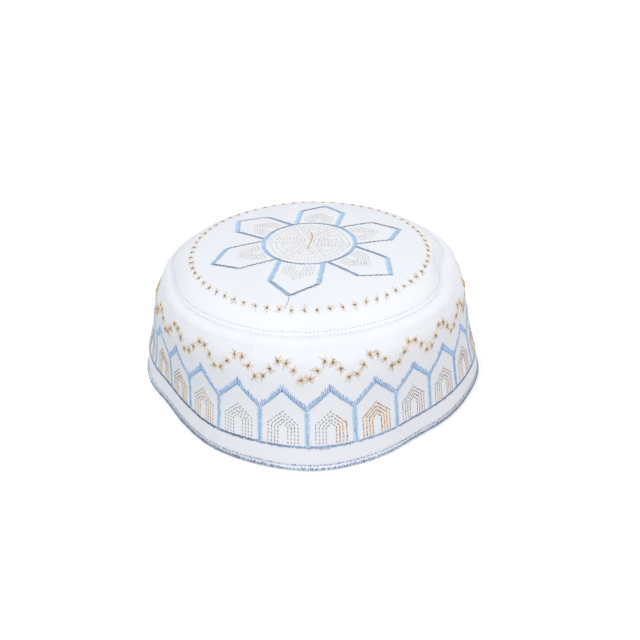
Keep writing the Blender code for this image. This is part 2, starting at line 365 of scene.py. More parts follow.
def crownPlace(x, y):
    # height = crown height - fall(radius) + relief; the seam's pull moves points straight out or in
    radius = np.hypot(x, y)
    angle = np.arctan2(x, -y)
    out = radius - outlineAt(angle, "seamPull") * nearSeam(cap["seamRadius"] - radius)
    dents = sum(hump(radius, row, 0.6 * mm) for row in relief["stitchRows"]) * relief["stitchDent"]
    slow = waves(angle, (3, 5, 8), slowShifts[:3]) * relief["crownUneven"] * (radius / cap["seamRadius"]) ** 2
    fine = waves(angle, relief["puckers"], puckerShifts) * relief["pucker"] * hump(radius, crownEdge, 4 * mm)
    return atAngle(out, cap["height"] - crownFall(radius) - dents + slow + fine, angle)


# the band's mean profile from the base line up to the crown's edge, where it lies square under the crown's outer
# face, against the length run up it
edgeSlope = (crownFall(crownEdge + cap["cloth"] / 2) - crownFall(crownEdge - cap["cloth"] / 2)) / cap["cloth"]
edgeDepth = (cap["sewnEdge"] + cap["gap"]) / np.hypot(edgeSlope, 1)
edgeOut, edgeUp = crownEdge - edgeDepth * edgeSlope, cap["height"] - crownFall(crownEdge) - edgeDepth
wallHeight = edgeUp - hemStrip
profileOut = (edgeOut + bandRows[:, 1] * (baseRadius - edgeOut))[::-1]
profileUp = (edgeUp - bandRows[:, 0] * wallHeight)[::-1]
profilePuff = bandRows[::-1, 2]
profileRise = np.concatenate([[0], np.cumsum(np.hypot(np.diff(profileOut), np.diff(profileUp)))])
wallRise = profileRise[-1]
riseTable = np.linspace(0, wallRise, 400)
heightTable = smoothCurve(riseTable, profileRise, profileUp)


def riseAt(height):
    # length run up the wall from the base line, at a height; the hem strip below it counts down straight
    return np.interp(height, heightTable, riseTable) + np.minimum(height - hemStrip, 0)


def bandPlace(arc, rise):
    # radius = mean profile + swell + puff + seam's pull - gathers + flare + relief, at angle = arc / base radius
    angle = arc / baseRadius
    onWall = np.clip(rise, 0, wallRise)
    height = smoothCurve(onWall, profileRise, profileUp) + np.minimum(rise, 0)
    fall = edgeUp - height
    share = np.clip(fall / wallHeight, 0, 1)
    below = np.maximum(hemStrip - height, 0) / hemStrip
    gather = cap["gatherDepth"] * np.clip(1 - fall / cap["gatherLength"], 0, 1) ** 2
    puckers = waves(angle, relief["puckers"], puckerShifts) * relief["pucker"]
    slow = waves(angle, (5, 9, 13), slowShifts[3:]) * relief["wallUneven"] * np.sin(np.pi * share) ** 2
    pinch = (cap["cloth"] - cap["hemPinch"]) / 2 * np.clip((cap["pinchTop"] - height) / cap["pinchFade"], 0, 1)
    creases = sum(hump(np.degrees(angle), middle, width) * rise for middle, width, rise in relief["creases"]) * mm
    out = (smoothCurve(onWall, profileRise, profileOut)
           + outlineAt(angle, "swell") * share ** cap["swellOnset"]
           + outlineAt(angle, "puff") * smoothCurve(onWall, profileRise, profilePuff)
           - outlineAt(angle, "seamPull") * nearSeam(fall)
           - gather * (1 - np.cos(cap["gathers"] * angle)) / 2
           + outlineAt(angle, "flare") * below
           + puckers * np.exp(-fall / relief["puckerLength"]) + slow - pinch + creases * np.minimum(below * 4, 1))
    return atAngle(out, height, angle)


def lifted(place, across, up, lift):
    # the surface's point moved out along its normal, the cross product of its two slopes; also the normal
    step = 0.15 * mm
    slopeAcross = place(across + step, up) - place(across - step, up)
    slopeUp = place(across, up + step) - place(across, up - step)
    normal = np.cross(slopeAcross, slopeUp)
    normal /= np.linalg.norm(normal, axis=-1, keepdims=True)
    return place(across, up) + normal * np.asarray(lift)[..., None], normal


def newPiece(name, points, faces, finish, slot, fans=np.empty((0, 3), int)):
    # a smooth shaded mesh that rides on the cap; faces are turned outward if the volume they close is negative
    triangles = np.concatenate([faces[:, :3], faces[:, [0, 2, 3]], fans])
    first, second, third = points[triangles].transpose(1, 0, 2)
    if np.einsum("ij,ij->", first, np.cross(second, third)) < 0:
        faces, fans = faces[:, ::-1], fans[:, ::-1]
    mesh = bpy.data.meshes.new(name)
    mesh.from_pydata(points.tolist(), [], faces.tolist() + fans.tolist())
    mesh.shade_smooth()
    mesh.materials.append(finish)
    piece = newObject(name, mesh)
    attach(piece, "root")
    print(name, len(faces), "faces")
    return piece


def ringFaces(rows, columns, closed):
    # quads between neighbouring rows; the columns join up round the cap, and the rows too if the section is closed
    row = np.arange(rows if closed else rows - 1)[:, None]
    column = np.arange(columns)[None, :]
    after = (column + 1) % columns
    above = (row + 1) % rows
    return together(row * columns + column, row * columns + after,
                    above * columns + after, above * columns + column).reshape(-1, 4)


def addMap(piece, flat, around=0.0):
    # the flat cloth's coordinates for every corner of every face; where a face closes the ring, its far side counts
    # one length more
    layer = piece.data.uv_layers.new(name="flat")
    index = np.empty(len(piece.data.loops), int)
    piece.data.loops.foreach_get("vertex_index", index)
    corners = flat[index]
    if around:
        across = corners[:, 0].reshape(-1, 4)
        closing = across.max(axis=1, keepdims=True) - across > around / 2
        across += closing * around
    layer.data.foreach_set("uv", corners.ravel())


def addNumbers(piece, **numbers):
    # one number for each vertex, which the finish reads by its name
    for name, values in numbers.items():
        piece.data.attributes.new(name, "FLOAT", "POINT").data.foreach_set("value", values.astype(np.float32).ravel())


cloth = {
    "columns": 600,
    "crownRadii": np.concatenate([np.linspace(1.0, 66.0, 44), np.linspace(67.0, 75.4, 36)]) * mm,
    "crownInner": np.linspace(74.5, 1.0, 22) * mm,
    "edgeTurn": np.linspace(0, np.pi, 7),  # rounded edge of the crown's cloth
    "tuckSteps": 8,
    "wallSteps": 84,
    "wallSpacing": 1.25,  # above 1 the rows lie closer towards the crown
    "hemSteps": 16,
    "innerHemSteps": 6,
    "innerSteps": 22,
    "innerTop": 4.0 * mm,  # how far below the crown's edge the inner face ends
    "hemFoot": 1.1 * mm,
}


def crownCloth(radius):
    # thickness, pressed thin towards the edge
    return np.interp(radius, [crownEdge - cap["lap"], crownEdge], [cap["cloth"], cap["sewnEdge"]])


def makeCrown():
    # rings from the middle out, round the edge as a half circle, and back along the inner face
    angle = np.linspace(0, tau, cloth["columns"], endpoint=False)
    half = cap["sewnEdge"] / 2
    turn = cloth["edgeTurn"]
    radius = np.concatenate([cloth["crownRadii"], crownEdge - half + half * np.sin(turn), cloth["crownInner"]])
    lift = np.concatenate([0 * cloth["crownRadii"], half * (np.cos(turn) - 1), -crownCloth(cloth["crownInner"])])
    x, y = aroundAxis(radius[:, None], angle)
    points, _ = lifted(crownPlace, x, y, lift[:, None])
    rows, columns = x.shape
    poles, _ = lifted(crownPlace, np.zeros(2), np.zeros(2), np.array([0, -cap["cloth"]]))
    column = np.arange(columns)
    after = (column + 1) % columns
    last = (rows - 1) * columns
    fans = np.concatenate([together(rows * columns, after, column),
                           together(rows * columns + 1, last + column, last + after)])
    crown = newPiece("crown_cloth", np.concatenate([points.reshape(-1, 3), poles]),
                     ringFaces(rows, columns, closed=False), crownCotton, "white_cloth", fans)
    addMap(crown, np.concatenate([together(x, y).reshape(-1, 2), np.zeros((2, 2))]))
    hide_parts("crown_panel")
    return crown


def makeBand():
    # closed section: tucked under the crown, down the outer face to the foot, and up the inner face
    angle = np.linspace(-np.pi, np.pi, cloth["columns"], endpoint=False)
    arc = angle * baseRadius
    tuckRadii = np.linspace(crownEdge - cap["lap"], crownEdge, cloth["tuckSteps"])[:, None]
    tuckRises = np.linspace(wallRise + cap["lap"], wallRise, cloth["tuckSteps"])
    under = crownCloth(tuckRadii) + cap["gap"]
    foot = cloth["hemFoot"] - hemStrip
    wallRises = wallRise * (1 - np.linspace(0, 1, cloth["wallSteps"]) ** cloth["wallSpacing"])
    outerRises = np.concatenate([wallRises, np.linspace(0, foot, cloth["hemSteps"] + 1)[1:]])
    innerRises = np.concatenate([np.linspace(foot, 0, cloth["innerHemSteps"]),
                                 np.linspace(0, wallRise - cloth["innerTop"], cloth["innerSteps"])[1:]])
    pinchTop = cap["pinchTop"] - hemStrip
    halfPinched = (cap["hemPinch"] + cap["cloth"]) / 2 + 0.1 * mm
    thickness = np.select([innerRises < pinchTop - cap["pinchFade"], innerRises < pinchTop],
                          [cap["hemPinch"], halfPinched], cap["cloth"])
    x, y = aroundAxis(tuckRadii, angle)
    tuckOuter, _ = lifted(crownPlace, x, y, -under)
    tuckInner, _ = lifted(crownPlace, x, y, -under - cap["cloth"])
    outer, _ = lifted(bandPlace, arc, outerRises[:, None], 0.0)
    inner, _ = lifted(bandPlace, arc, innerRises[:, None], -thickness[:, None])
    points = np.concatenate([tuckOuter, outer[1:], inner, tuckInner[::-1]])
    rises = np.concatenate([tuckRises, outerRises[1:], innerRises, tuckRises[::-1]])
    band = newPiece("band_cloth", points.reshape(-1, 3), ringFaces(*points.shape[:2], closed=True), bandCotton,
                    "white_cloth")
    addMap(band, together(arc, rises[:, None]).reshape(-1, 2), tau * baseRadius)
    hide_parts("side_band")
    return band


crownPiece = makeCrown()
bandPiece = makeBand()
print("cloth made")


sewnOn = {}  # the pieces on each of the two cloths, by the function that places them


def threadPiece(name, place, centre, normal, width, height, thread, **numbers):
    # four points round each station: centre + side width/2 cos(turn) + normal height/2 sin(turn), where side is
    # square to the run and the normal; quads join the stations, and one closes each end
    run = np.gradient(centre, axis=1)
    side = np.cross(run, normal)
    side /= np.linalg.norm(side, axis=-1, keepdims=True)
    ring = np.arange(4)
    turn = ring / 4 * tau
    points = (centre[:, :, None] + side[:, :, None] * (np.asarray(width)[..., None] / 2 * np.cos(turn))[..., None]
              + normal[:, :, None] * (np.asarray(height)[..., None] / 2 * np.sin(turn))[..., None])
    count, stations = centre.shape[:2]
    here = np.arange(stations - 1)[:, None] * 4
    after = (ring + 1) % 4
    quads = together(here + ring, here + 4 + ring, here + 4 + after, here + after).reshape(-1, 4)
    quads = np.concatenate([quads, [ring], [ring[::-1] + (stations - 1) * 4]])
    faces = (np.arange(count)[:, None, None] * stations * 4 + quads).reshape(-1, 4)
    piece = newPiece(name, points.reshape(-1, 3), faces, *threads[thread])
    addNumbers(piece, **{key: np.repeat(np.broadcast_to(values, (count, stations)), 4)
                         for key, values in numbers.items()})
    sewnOn.setdefault(place, []).append(piece)


stitchLook = {
    "shares": np.array([0.0, 0.22, 0.78, 1.0]),  # stations along a stitch
    "swell": np.array([0.45, 1.0, 1.0, 0.45]),  # its thickness there
    "rise": np.array([-0.5, 0.55, 0.55, -0.5]),  # its middle above the cloth, in half heights
    "satin": 0.34 * mm,  # height of a satin stitch
    "leastCrossing": 0.42,  # of a line that runs along its own threads
}


def stitches(start, end, width, height, tone):
    # a group of stitches in flat coordinates; single numbers are spread over the group
    return [start, end] + [np.broadcast_to(value, len(start)) for value in (width, height, np.clip(tone, 0, 1))]


def stitchPiece(name, place, groups, thread, dyesAndShade=None, rise=0.0, shade=0.0):
    # each stitch goes from its start to its end over the surface, raised along its middle and sunk at its ends;
    # rise lifts all of them onto other stitches, and shade is painted shade: how much their tone deepens from start
    # to end
    start, end, width, height, tone = map(np.concatenate, zip(*groups))
    shares = stitchLook["shares"]
    flat = start[:, None] + (end - start)[:, None] * shares[None, :, None]
    lift = height[:, None] / 2 * stitchLook["rise"] + rise
    centre, normal = lifted(place, flat[..., 0], flat[..., 1], lift)
    length = np.linalg.norm(end - start, axis=-1)
    numbers = {} if dyesAndShade is None else {"dyeAndShade": dyesAndShade[:, None]}
    threadPiece(name, place, centre, normal, width[:, None] * stitchLook["swell"],
                height[:, None] * stitchLook["swell"], thread,
                tone=np.clip(tone[:, None] + shade * (shares - 0.5), 0, 1), along=length[:, None] * shares, **numbers)


def alongPath(path, pitch, thread=None):
    # places a pitch apart on a line through the corners, the line's direction there, and how squarely it crosses the
    # threads, whose own direction, if given, is the one that the pitch is measured square to
    path = np.asarray(path, float)
    steps = np.diff(path, axis=0)
    lengths = np.linalg.norm(steps, axis=1)
    direction = steps / lengths[:, None]
    crossing = np.ones(len(steps))
    if thread is not None:
        crossing = np.abs(direction[:, 0] * thread[1] - direction[:, 1] * thread[0])
        crossing = np.maximum(crossing, stitchLook["leastCrossing"])
    run = np.concatenate([[0], np.cumsum(lengths * crossing)])
    count = max(int(round(run[-1] / pitch)), 1)
    at = (np.arange(count) + 0.5) * run[-1] / count
    leg = np.clip(np.searchsorted(run, at) - 1, 0, len(steps) - 1)
    share = (at - run[leg]) / (run[leg + 1] - run[leg])
    return path[leg] + steps[leg] * share[:, None], direction[leg], crossing[leg]


def satin(path, pitch, span, tone, ragged, stripe, fan=0.0):
    # stitches side by side along a path, each from minus span to span, so all in one direction; where the path runs
    # along them they lean to either side in turn by the fan; also how far the path runs along them, from 0 to 1.
    # Ragged is how far their two ends stray, in mm, and stripe the step in tone between neighbours, partly painted
    # shade for the dark lines between threads
    span = np.asarray(span, float)
    unit = span / np.linalg.norm(span)
    middle, direction, crossing = alongPath(path, pitch, unit)
    count = len(middle)
    lean = fan * (1 - crossing) * dice.uniform(0.6, 1.2, count) * np.where(np.arange(count) % 2, -0.8, 1.0)
    slant = np.array([-unit[1], unit[0]]) * lean[:, None]
    sway = direction * dice.normal(0, 0.05 * mm, (count, 1))
    start = middle - span - unit * dice.uniform(-ragged[0], ragged[0], (count, 1)) * mm - slant
    end = middle + span + unit * dice.uniform(-ragged[1], ragged[1], (count, 1)) * mm + slant + sway
    tones = tone + stripe * (np.arange(count) % 2 - 0.5) + dice.normal(0, 0.12, count)
    width = pitch * dice.uniform(0.82, 1.05, count)
    return stitches(start, end, width, stitchLook["satin"], tones), 1 - crossing


def running(path, pitch, dash, tone, thick, stray=0.06):
    # dashes along a path, each a little off its line; thick and stray are in mm
    middle, direction, _ = alongPath(path, pitch)
    count = len(middle)
    middle = middle + dice.normal(0, stray * mm, (count, 2))
    half = direction * (dash / 2) * dice.uniform(0.8, 1.15, (count, 1))
    return stitches(middle - half, middle + half, thick * mm, thick * 0.8 * mm, tone + dice.normal(0, 0.18, count))


def onCircle(radius, degrees):
    # flat crown coordinates of a point at an angle from the front
    return together(*aroundAxis(radius, np.radians(degrees)))


arches = {
    "count": 24,
    "firstBar": -2.55,  # degrees from the front
    "base": 12.8 * mm,
    "barTop": 32.3 * mm,
    "tip": 43.1 * mm,
    "pitch": 0.5 * mm,
    "barHalf": 1.6 * mm,
    "roofHalf": 1.35 * mm,
    "fringe": 0.32 * mm,  # thickness of its threads
    "fringeReach": (0.3, 2.0),  # mm above the roof's dark band
    "fringePeak": 1.4 * mm,  # longer stitches at the tip
    "barRidge": (1.0 * mm, 0.95 * mm),  # pitch and dash of the dark thread down a bar
    "barWander": 0.35 * mm,
    "roofRidge": (1.5 * mm, 0.9 * mm),  # and of the one along a roof
    "baseHalf": 0.74 * mm,
    "hanging": (3.2 * mm, 6 * mm, 1.1 * mm),  # longer ticks of the base line: middle, spread, reach
    # the nested filling lines: half width, height of the shoulder and of the tip
    "nest": np.array([(2.5, 22.7, 25.0), (4.1, 23.3, 27.0), (5.75, 23.9, 29.1), (7.5, 24.4, 31.1)]) * mm,
    "foot": 13.8 * mm,
    "dashPitch": 1.95 * mm,
    "dash": 1.35 * mm,
}
# the filling thread's dye, against arches counted from the front bar: 0 grey brown, 1 golden
dyeRows = np.array([
    (-12, 0.2), (-9, 0.8), (-7, 0.2), (-5.2, 0.35), (-4.5, 0.75), (-3.6, 0.8), (-3.0, 0.65), (-2.05, 0.5),
    (-1.95, 0.1), (-1.0, 0.05), (0.5, 0.05), (0.7, 0.9), (1.0, 1.0), (1.95, 1.0), (2.05, 0.5), (3.0, 0.6),
    (5.0, 0.6), (7, 0.2), (9, 0.9), (12, 0.2)])
# painted shade of the blue threads, darker round the sides where the light falls off, together with their own darker
# tone there; against degrees from the front: 0 pale, 1 dark
sideShadeRows = np.array([
    (-180, 0.5), (-88, 0.25), (-72, 0.75), (-45, 1.0), (-22, 0.75), (-4, 0.35), (22, 0.45), (45, 0.8),
    (60, 0.9), (85, 0.85), (180, 0.5)])
archWidth = tau / arches["count"] * baseRadius
firstBar = np.radians(arches["firstBar"]) * baseRadius
barPlaces = firstBar + np.arange(-arches["count"] // 2, arches["count"] // 2) * archWidth
baseRise, barTopRise, tipRise = riseAt(np.array([arches["base"], arches["barTop"], arches["tip"]]))


def sideShadeAt(arc):
    # the side-shade table, straight between its rows
    return np.interp(fromFront(arc / baseRadius), *sideShadeRows.T)


def sideShadeShare(arc):
    # share of painted shade for arches round the sides: 0 up to 35 degrees from the front, 1 from 60 degrees on
    return np.clip((np.abs(fromFront(arc / baseRadius)) - 35) / 25, 0, 1)


def archBars():
    # upright bars of level stitches, each with short dark stitches that wander down its middle
    bars, ridges = [], []
    for bar in barPlaces:
        # painted shade: bars darker round the sides, on top of a random tone
        tone = 0.14 * dice.random() + 0.2 * sideShadeAt(bar) + 0.3 * sideShadeShare(bar)
        line = [(bar, baseRise), (bar, barTopRise + 0.6 * mm)]
        bars.append(satin(line, arches["pitch"], (arches["barHalf"], 0), tone, (0.4, 0.4), 0.35)[0])
        line = np.linspace((bar, baseRise + 0.6 * mm), (bar, barTopRise + 0.4 * mm), 8)
        line[1:-1, 0] += dice.uniform(-1, 1, 6) * arches["barWander"]
        # painted shade: the ridge thread darker round the sides
        ridges.append(running(line, *arches["barRidge"], 0.05 + 0.5 * sideShadeAt(bar), 0.42, 0.12))
    return bars, ridges


def archRoofs():
    # upright stitches from bar to tip to bar over a dark running thread, under a thin ragged fringe that reaches
    # higher at the tip; painted shade darkens the second slope a little and, round the sides, the slope on the
    # front's side
    roofs, fringes, ridges = [], [], []
    lower = np.array([0, 0.4 * mm])
    for bar in barPlaces:
        for side in (0, 1):
            line = np.array([(bar + side * archWidth, barTopRise), (bar + archWidth / 2, tipRise)])
            # painted shade: the second slope a little darker, and the slopes and the dark thread under them darker
            # round the sides
            tone = 0.2 + 0.08 * side + 0.25 * sideShadeAt(bar) + 0.35 * sideShadeShare(bar) * (side == (bar < 0))
            roofs.append(satin(line, arches["pitch"], (0, arches["roofHalf"]), tone, (0.3, 0.5), 1.0)[0])
            ridges.append(running(line - lower, *arches["roofRidge"], 0.6 * sideShadeAt(bar), 0.32, 0.22))
            middle = alongPath(line, arches["pitch"], (0, 1))[0]
            count = len(middle)
            nearTip = 1 - np.abs(middle[:, 0] - bar - archWidth / 2) / (archWidth / 2)
            start = middle + together(dice.normal(0, 0.1 * mm, count), arches["roofHalf"] * 0.6)
            reach = dice.uniform(*arches["fringeReach"], count) * mm + arches["fringePeak"] * nearTip ** 6
            end = start + together(dice.normal(0, 0.14 * mm, count), reach + 0.4 * mm)
            fringes.append(stitches(start, end, arches["fringe"], arches["fringe"], dice.uniform(0, 1, count)))
    return roofs, fringes, ridges


def baseLine():
    # a ring of upright stitches, with painted shade: darker round the sides and on the front's left
    ring = np.linspace(-np.pi, np.pi, 721) * baseRadius
    line, _ = satin(together(ring, baseRise), arches["pitch"], (0, arches["baseHalf"]), 0.0, (0.45, 0.3), 0.5)
    arc = line[0][:, 0]
    # painted shade on the front's left
    left = np.clip(-arc / (arches["count"] / 8 * archWidth), 0, 1)
    line[-1] = np.clip(line[-1] - 0.1 + 0.75 * sideShadeAt(arc) + 0.25 * left, 0, 1)
    middle, spread, reach = arches["hanging"]
    line[0][:, 1] -= hump(arc, middle, spread) * (np.arange(len(arc)) % 2) * reach
    return [line]


def house(middle, half, foot, shoulder, tip):
    # line of a pointed arch: up one side, over the tip and down the other
    left, right = middle - half, middle + half
    return [(left, foot), (left, shoulder), (middle, tip), (right, shoulder), (right, foot)]


def archFilling():
    # dashes on nested arches; slanting ones are darker, golden stretches thicker, and the dye follows its table
    groups, dyesAndShade = [], []
    for index, bar in enumerate(barPlaces):
        tone = 0.3 + 0.25 * dice.random()
        lean = dice.uniform(-0.3, 0.3) * mm
        for half, *heights in arches["nest"]:
            line = house(bar + archWidth / 2 + lean, half, *riseAt(np.array([arches["foot"], *heights])))
            start, end, width, height, tones = running(line, arches["dashPitch"], arches["dash"], tone, 0.38)
            slanting = np.abs(end - start)[:, 0] > 0.25 * mm
            place = index - len(barPlaces) // 2 + (start[:, 0] - bar) / archWidth
            dyeAndShade = np.clip(np.interp(place, *dyeRows.T) + dice.normal(0, 0.12, len(start)), 0, 1)
            longer = (end - start) * (0.28 * dyeAndShade)[:, None]
            groups.append([start - longer, end + longer, width * (1 + 0.9 * dyeAndShade), height,
                           np.clip(tones + 0.25 * slanting + dyeAndShade * dice.normal(-0.2, 0.25, len(start)), 0, 1)])
            dyesAndShade.append(dyeAndShade)
    return groups, np.concatenate(dyesAndShade)


bars, barRidges = archBars()
roofs, fringes, roofRidges = archRoofs()
stitchPiece("arch_bars", bandPlace, bars, "skySilk")
# painted shade: each roof stitch deeper at its lower end, paler at its upper end
stitchPiece("arch_roofs", bandPlace, roofs, "skySilk", shade=-0.5)
stitchPiece("arch_fringe", bandPlace, fringes, "fringeSilk")
stitchPiece("base_line", bandPlace, baseLine(), "slateSilk")
stitchPiece("arch_ridges", bandPlace, barRidges + roofRidges, "slateSilk", rise=0.2 * mm)
dashes, dashDyes = archFilling()
stitchPiece("arch_filling", bandPlace, dashes, "archCotton", dashDyes)
print("wall embroidery made")


stars = {
    # rays, their reach, and how much longer they are along the crown's depth
    "wall": (16, 3.5 * mm, 0.0),
    "crown": (10, 2.5 * mm, 0.7),
    "ringRadius": 64.7 * mm,
    "ringCount": 66,
    "ringStep": 5.4545,  # degrees
    "ringFirst": -3.0,
    "peak": 57.2 * mm,  # heights of the zigzag above the rim
    "slope": 53.2 * mm,
    "valley": 48.6 * mm,
    "pairHalf": 2.1 * mm,
    "ray": 0.22 * mm,  # width of a ray's thread
    "rayHeight": 0.28 * mm,
    "hole": 0.25 * mm,  # from the star's middle to where its rays start
    "heart": 0.5 * mm,
}


def starRays(centres, rays, reach, upright):
    # rays at even angles from near the middle to a length that varies
    count = len(centres)
    turn = np.arange(rays) / rays * tau + dice.uniform(0, 0.5, (count, 1)) + dice.normal(0, 0.1, (count, rays))
    way = together(np.cos(turn), np.sin(turn) * (1 + upright))
    length = reach * (0.4 + 0.8 * dice.random((count, rays, 1)) ** 1.4)
    start = (centres[:, None] + way * stars["hole"]).reshape(-1, 2)
    end = (centres[:, None] + way * length).reshape(-1, 2)
    return stitches(start, end, stars["ray"], stars["rayHeight"], dice.uniform(0.0, 1.0, len(start)) ** 1.5)


def starHearts(centres):
    # two short crossing stitches, dark and raised, and a small stray one beside them
    turn = dice.uniform(0, np.pi, (len(centres), 1)) + np.array([0, np.pi / 2, 1.0])
    way = together(np.cos(turn), np.sin(turn)) * np.array([[0.55], [0.55], [0.3]]) * mm
    middle = centres[:, None] + dice.normal(0, 1, (len(centres), 3, 2)) * np.array([[0.1], [0.1], [0.6]]) * mm
    return stitches((middle - way).reshape(-1, 2), (middle + way).reshape(-1, 2),
                    stars["heart"], stars["heart"], dice.uniform(0, 1, 3 * len(centres)))


def zigzag():
    # two stars over each tip, one on each slope, two over each bar
    pair = stars["pairHalf"]
    places = [(-pair, stars["valley"]), (pair, stars["valley"] + 0.7 * mm), (archWidth * 0.25, stars["slope"]),
              (archWidth / 2 - pair, stars["peak"]), (archWidth / 2 + pair, stars["peak"] - 0.6 * mm),
              (archWidth * 0.75, stars["slope"])]
    return np.concatenate([together(barPlaces + across, riseAt(height)) for across, height in places])


ringDegrees = stars["ringFirst"] + np.arange(stars["ringCount"]) * stars["ringStep"]
ringStars = onCircle(stars["ringRadius"], ringDegrees)
smaller = (0.85 + 0.15 * np.cos(np.radians(ringDegrees)))[:, None, None]  # at the back
for where, place, centres, size in (("wall", bandPlace, zigzag(), 1), ("crown", crownPlace, ringStars, smaller)):
    rays, reach, upright = stars[where]
    stitchPiece(where + "_stars", place, [starRays(centres, rays, reach * size, upright)], "goldSilk")
    stitchPiece(where + "_star_hearts", place, [starHearts(centres)], "brownSilk")
print("stars made")


flower = {
    "petals": 6,
    "firstPetal": -11.13,
    "circle": 25.05 * mm,
    "circleSpan": (1.35 * mm, 0),  # half a stitch, across the cap
    "petalSpan": (1.6 * mm, 0),
    "baseHalfAngle": 27.0,
    "corner": 44.8 * mm,
    "cornerHalfAngle": 16.2,
    "tip": 54.4 * mm,
    "pitch": 0.45 * mm,
    "nest": np.array([(2.2, 31.0, 33.6), (3.6, 31.7, 35.5), (5.0, 32.4, 37.4), (6.4, 33.1, 39.2),
                      (7.8, 33.8, 41.0)]) * mm,
    "foot": 26.6 * mm,
    "wedges": (0.33, 0.67, 1.0),  # the medallion's nested wedges, as shares of the outer one
    "wedgeMiddle": np.array([10.5, 12.2]) * mm,  # its near corner and its far corners start here
    "wedgeReach": np.array([-8.3, 7.8]) * mm,  # and move this far
    "wedgeHalf": 10.2 * mm,
    "wedgePeak": 0.8 * mm,
    "fan": 1.0 * mm,  # lean of stitches that a line runs along
    "dash": 0.31,  # mm, thickness
}
petals = flower["firstPetal"] + np.arange(flower["petals"]) * 360 / flower["petals"]


def crownOutline():
    # all stitches lie across the cap, so a line across it is thin and one along its depth broad; painted shade
    # darkens the thin lines, and the broad ones stay pale
    ring = onCircle(flower["circle"], np.linspace(0, 360, 361))
    made = [satin(ring, 0.5 * mm, flower["circleSpan"], 0.35, (0.3, 0.3), 0.5, fan=flower["fan"])]
    for middle in petals:
        tip = onCircle(flower["tip"], middle)
        for side in (-1, 1):
            base = onCircle(flower["circle"] + 0.5 * mm, middle + side * flower["baseHalfAngle"])
            corner = onCircle(flower["corner"], middle + side * flower["cornerHalfAngle"])
            for first, last in ((base, corner), (corner, tip)):
                upright = abs(last - first)[1] / np.linalg.norm(last - first)
                made.append(satin([first, last], flower["pitch"] * (1.3 - 0.3 * upright), flower["petalSpan"], 0.28,
                                  (0.35, 0.35), 0.9 - 0.45 * upright, fan=flower["fan"]))
    groups, dyesAndShade = zip(*made)
    # share of painted shade: the further a line runs along its threads, the darker
    return groups, np.clip(np.concatenate(dyesAndShade) * 2.1, 0, 1)


def crownFilling():
    # nested lines in every petal, and nested three-cornered wedges inside the medallion; each has its own dye
    groups, dyesAndShade = [], []

    def sew(line):
        groups.append(running(line[:, :1] * across + line[:, 1:] * outward, pitch, dash, tone, thick))
        dyesAndShade.append(np.clip(dice.normal(0.45, 0.3) + dice.normal(0, 0.2, len(groups[-1][0])), 0, 1))

    pitch, dash, thick = arches["dashPitch"], arches["dash"], flower["dash"]
    for middle in petals:
        outward, across = onCircle(1.0, middle), onCircle(1.0, middle + 90)
        tone = 0.25 + 0.5 * dice.random()
        for half, shoulder, tip in flower["nest"]:
            sew(np.array(house(0.0, half, flower["foot"], shoulder, tip)))
        for share in flower["wedges"]:
            near, far = flower["wedgeMiddle"] + flower["wedgeReach"] * share
            half = flower["wedgeHalf"] * share
            sew(np.array([(0, near), (-half, far), (0, far + flower["wedgePeak"]), (half, far), (0, near)]))
    return groups, np.concatenate(dyesAndShade)


def centreStroke():
    # a short crooked bar of stitches over the middle of the medallion
    line = np.array([(-0.9, -8.2), (-0.5, -5.9), (0.9, 0.0), (2.0, 6.4), (1.4, 11.8)]) * mm
    return [satin(line, 0.5 * mm, np.array([0.4, 0.15]) * mm, 0.6, (0.2, 0.2), 0.6)[0]]


outline, outlineShade = crownOutline()
# painted shade: each outline stitch paler at its left end, deeper at its right, and darker where its line runs along
# its threads
stitchPiece("crown_outline", crownPlace, outline, "outlineSilk", outlineShade, shade=0.5)
filling, fillingDyes = crownFilling()
stitchPiece("crown_filling", crownPlace, filling, "fadedCotton", fillingDyes)
stitchPiece("centre_stroke", crownPlace, centreStroke(), "goldSilk")


seam = {
    "pitch": 1.9 * mm,
    "dash": 1.3 * mm,
    "looks": ((0.6, 0.27), (0.1, 0.2)),  # tone and thickness in mm, row by row
    "stray": 0.1,  # mm
}


def seamRows():
    # a ring of dashes on each of the seam's two radii
    rings = [onCircle(radius, np.linspace(0, 360, 721)) for radius in relief["stitchRows"]]
    return [running(ring, seam["pitch"], seam["dash"], *look, seam["stray"])
            for ring, look in zip(rings, seam["looks"])]


# painted shade: the seam's white thread drawn grey
stitchPiece("seam_stitching", crownPlace, seamRows(), "greyAndShadedCotton")


looseThread = {
    "from": onCircle(54.9 * mm, -11.13),
    "to": onCircle(64.2 * mm, -11.7),
    "length": 9 * mm,
    "thickness": 0.24 * mm,
    "lift": 0.35 * mm,
    "bow": 0.5 * mm,
    "stations": 13,
}


def makeLooseThread():
    # a thread that arches between two stitches: its lift and its bow go as the sine of the share along it
    share = np.linspace(0, 1, looseThread["stations"])
    wave = np.sin(np.pi * share)
    flat = looseThread["from"] + (looseThread["to"] - looseThread["from"]) * share[:, None]
    flat[:, 0] += looseThread["bow"] * wave
    centre, normal = lifted(crownPlace, flat[None, :, 0], flat[None, :, 1], looseThread["lift"] * wave[None])
    threadPiece("loose_thread", crownPlace, centre, normal, looseThread["thickness"], looseThread["thickness"],
                "greyAndShadedCotton", tone=1.0, along=share * looseThread["length"])


makeLooseThread()


